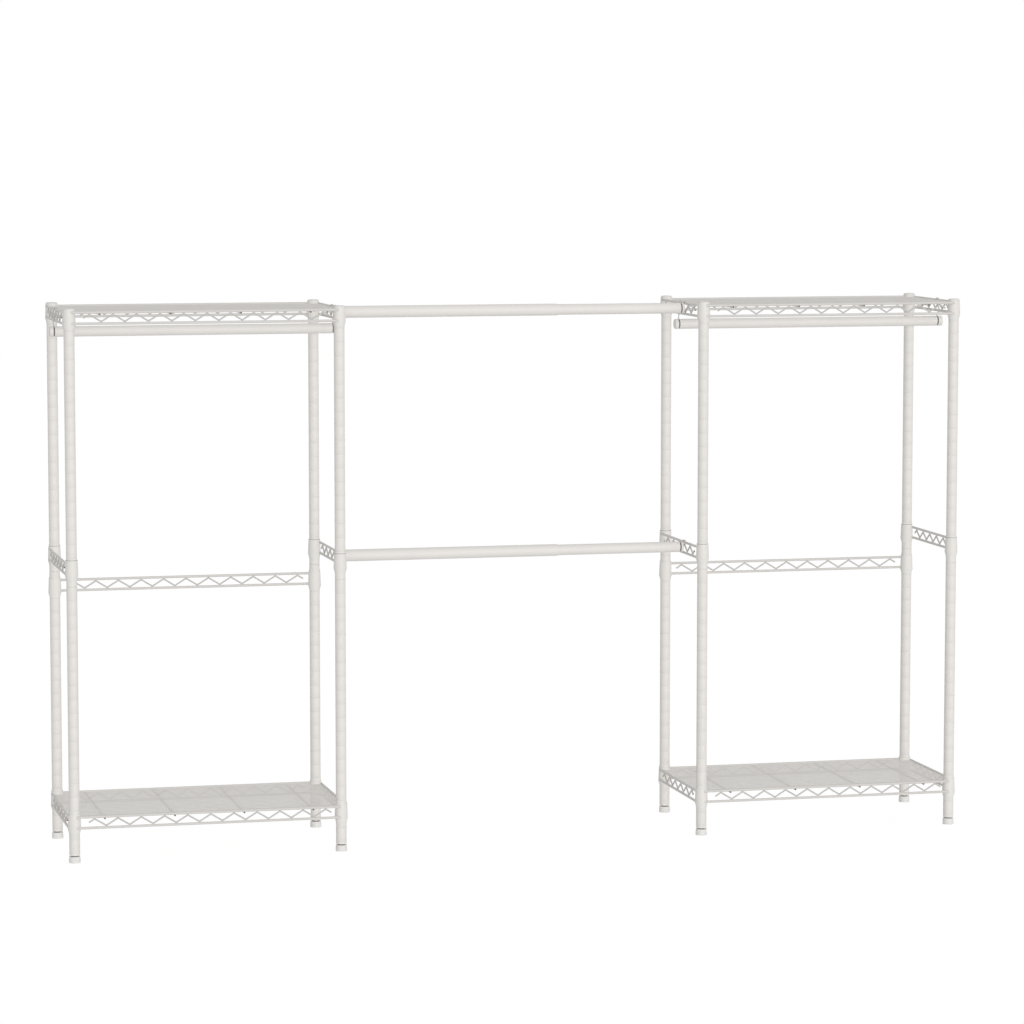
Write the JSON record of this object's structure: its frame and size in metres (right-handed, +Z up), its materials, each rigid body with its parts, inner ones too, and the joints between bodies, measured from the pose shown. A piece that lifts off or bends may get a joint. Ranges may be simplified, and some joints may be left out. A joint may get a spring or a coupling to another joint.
{
  "type": "open frame wardrobe",
  "caption": "Open frame wardrobe: wire-shelf towers on grooved posts, hanging rods under the top shelves, and telescopic rods joining the towers.",
  "frame": {"origin": "on the floor, in the middle of the footprint", "axes": "+X along the length towards the right tower, -Y out of the front, +Z up"},
  "size_m": [3.361, 0.5422, 1.9663],
  "materials": {
    "post_coat": "warm white powder coat, satin, on grooved steel tube",
    "wire_coat": "warm white powder coat, satin, on welded steel wire",
    "rod_coat": "warm white powder coat, satin, on steel tube",
    "hook_wire": "warm white powder coat, satin, on bent steel wire",
    "foot_plastic": "moulded off-white plastic, matt",
    "cap_plastic": "moulded off-white plastic, matt",
    "plug_plastic": "moulded off-white plastic, matt"
  },
  "bodies": {
    "left_tower": {"left_outer_front_lower_post": "post_coat", "left_outer_front_upper_post": "post_coat", "left_outer_front_cap": "cap_plastic", "left_outer_back_lower_post": "post_coat", "left_outer_back_upper_post": "post_coat", "left_outer_back_cap": "cap_plastic", "left_inner_front_lower_post": "post_coat", "left_inner_front_upper_post": "post_coat", "left_inner_front_cap": "cap_plastic", "left_inner_back_lower_post": "post_coat", "left_inner_back_upper_post": "post_coat", "left_inner_back_cap": "cap_plastic", "left_outer_side_truss": "wire_coat", "left_inner_side_truss": "wire_coat", "left_back_truss": "wire_coat", "left_bottom_shelf": "wire_coat", "left_top_shelf": "wire_coat", "left_outer_rod_hook": "hook_wire", "left_inner_rod_hook": "hook_wire", "upper_span_outer_tube": "rod_coat", "upper_span_left_hook": "hook_wire", "lower_span_outer_tube": "rod_coat", "lower_span_left_hook": "hook_wire"},
    "right_tower": {"right_outer_front_lower_post": "post_coat", "right_outer_front_upper_post": "post_coat", "right_outer_front_cap": "cap_plastic", "right_outer_back_lower_post": "post_coat", "right_outer_back_upper_post": "post_coat", "right_outer_back_cap": "cap_plastic", "right_inner_front_lower_post": "post_coat", "right_inner_front_upper_post": "post_coat", "right_inner_front_cap": "cap_plastic", "right_inner_back_lower_post": "post_coat", "right_inner_back_upper_post": "post_coat", "right_inner_back_cap": "cap_plastic", "right_outer_side_truss": "wire_coat", "right_inner_side_truss": "wire_coat", "right_back_truss": "wire_coat", "right_bottom_shelf": "wire_coat", "right_top_shelf": "wire_coat", "right_outer_rod_hook": "hook_wire", "right_inner_rod_hook": "hook_wire", "upper_span_inner_tube": "rod_coat", "upper_span_right_hook": "hook_wire", "lower_span_inner_tube": "rod_coat", "lower_span_right_hook": "hook_wire"},
    "left_rod": {"left_hanging_rod": "rod_coat", "left_outer_rod_plug": "plug_plastic", "left_inner_rod_plug": "plug_plastic"},
    "right_rod": {"right_hanging_rod": "rod_coat", "right_outer_rod_plug": "plug_plastic", "right_inner_rod_plug": "plug_plastic"},
    "left_outer_front_leveller": {"left_outer_front_foot": "foot_plastic"},
    "left_outer_back_leveller": {"left_outer_back_foot": "foot_plastic"},
    "left_inner_front_leveller": {"left_inner_front_foot": "foot_plastic"},
    "left_inner_back_leveller": {"left_inner_back_foot": "foot_plastic"},
    "right_inner_front_leveller": {"right_inner_front_foot": "foot_plastic"},
    "right_inner_back_leveller": {"right_inner_back_foot": "foot_plastic"},
    "right_outer_front_leveller": {"right_outer_front_foot": "foot_plastic"},
    "right_outer_back_leveller": {"right_outer_back_foot": "foot_plastic"}
  },
  "joints": [
    {"name": "span_slide", "type": "slide", "parent": "left_tower", "child": "right_tower", "axis": [1, 0, 0], "range_m": [-0.45, 0.2]},
    {"name": "left_rod_roll", "type": "hinge", "parent": "left_tower", "child": "left_rod", "pos_m": [-1.157, -0.01372, 1.873], "axis": [1, 0, 0], "continuous": true},
    {"name": "right_rod_roll", "type": "hinge", "parent": "right_tower", "child": "right_rod", "pos_m": [1.157, -0.01372, 1.873], "axis": [1, 0, 0], "continuous": true},
    {"name": "left_outer_front_level", "type": "slide", "parent": "left_tower", "child": "left_outer_front_leveller", "axis": [0, 0, -1], "range_m": [0, 0.01]},
    {"name": "left_outer_back_level", "type": "slide", "parent": "left_tower", "child": "left_outer_back_leveller", "axis": [0, 0, -1], "range_m": [0, 0.01]},
    {"name": "left_inner_front_level", "type": "slide", "parent": "left_tower", "child": "left_inner_front_leveller", "axis": [0, 0, -1], "range_m": [0, 0.01]},
    {"name": "left_inner_back_level", "type": "slide", "parent": "left_tower", "child": "left_inner_back_leveller", "axis": [0, 0, -1], "range_m": [0, 0.01]},
    {"name": "right_inner_front_level", "type": "slide", "parent": "right_tower", "child": "right_inner_front_leveller", "axis": [0, 0, -1], "range_m": [0, 0.01]},
    {"name": "right_inner_back_level", "type": "slide", "parent": "right_tower", "child": "right_inner_back_leveller", "axis": [0, 0, -1], "range_m": [0, 0.01]},
    {"name": "right_outer_front_level", "type": "slide", "parent": "right_tower", "child": "right_outer_front_leveller", "axis": [0, 0, -1], "range_m": [0, 0.01]},
    {"name": "right_outer_back_level", "type": "slide", "parent": "right_tower", "child": "right_outer_back_leveller", "axis": [0, 0, -1], "range_m": [0, 0.01]}
  ]
}
